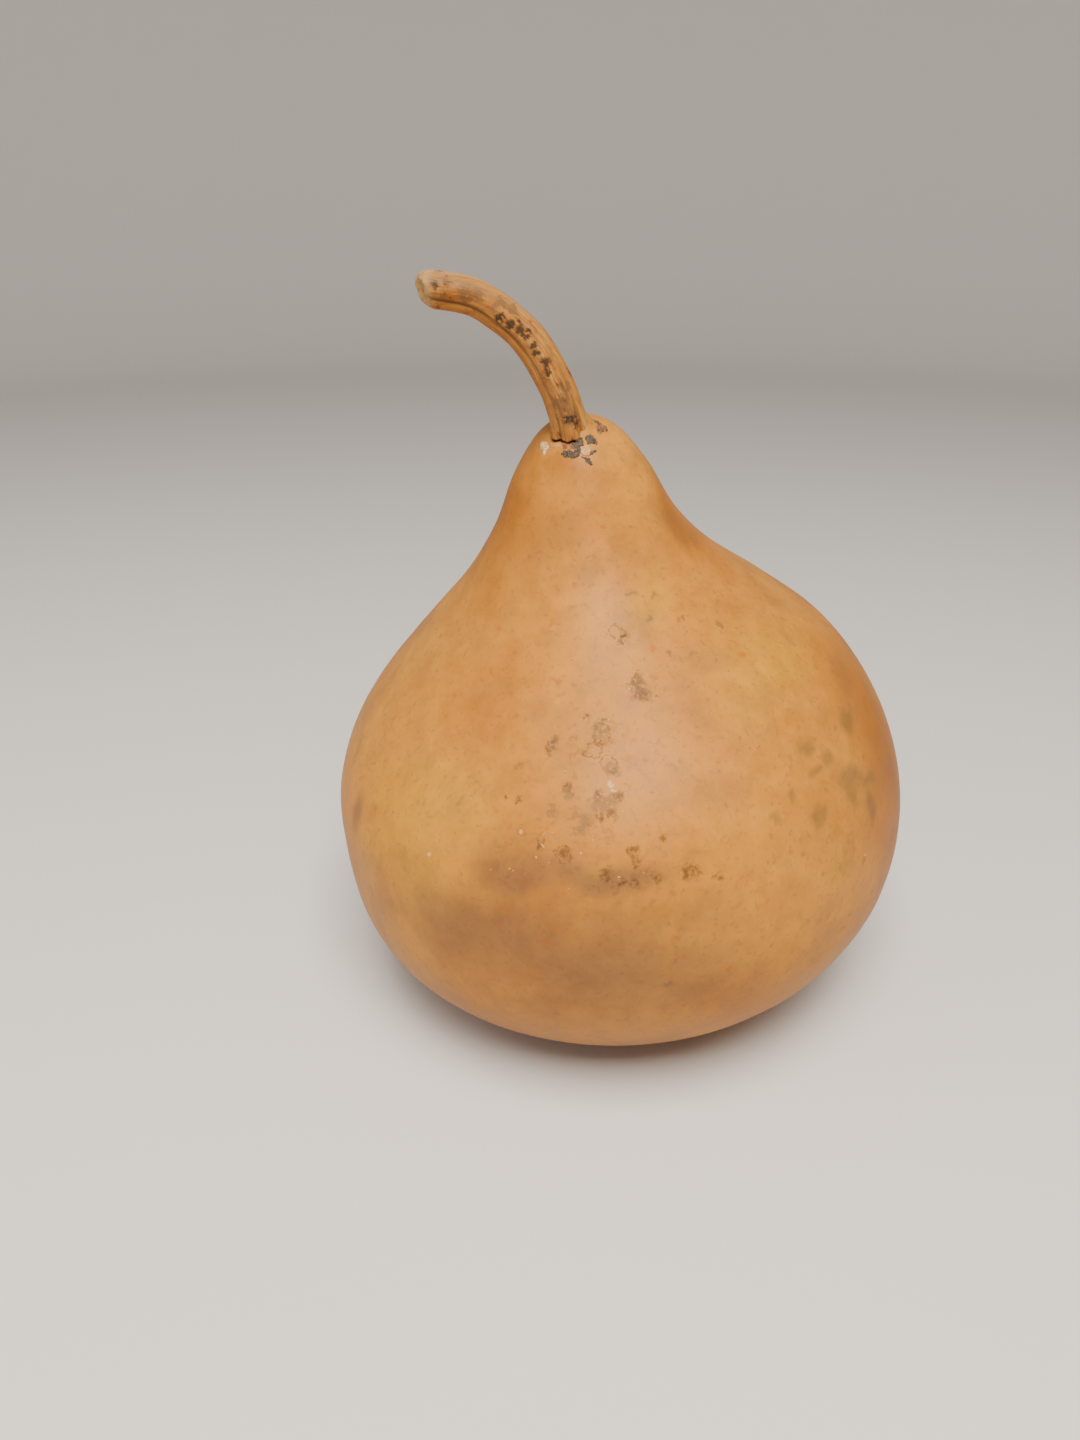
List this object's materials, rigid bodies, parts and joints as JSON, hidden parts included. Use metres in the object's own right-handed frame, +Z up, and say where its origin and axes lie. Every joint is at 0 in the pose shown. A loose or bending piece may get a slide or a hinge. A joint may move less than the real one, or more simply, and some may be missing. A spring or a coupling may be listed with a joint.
{
  "type": "dried bottle gourd",
  "caption": "Pear-shaped dried bottle gourd with a round belly, a neck that leans slightly, and a curved dry stem in its domed crown; stands on its flattened base.",
  "frame": {"origin": "middle of the flat spot on the bottom of the fruit, level with the surface that it rests on", "axes": "+Z up, from the base to the stem; -Y towards the side that the picture shows; -X towards the side that the stem bends to"},
  "size_m": [0.1683, 0.1721, 0.2133],
  "materials": {
    "rind": "satin, smooth dried skin, warm tan to orange, with small grey-brown scurf patches",
    "stem_wood": "matt dry fibrous wood, ochre, mottled dark brown"
  },
  "bodies": {
    "root": {"fruit": "rind", "stem": "stem_wood"}
  },
  "joints": []
}
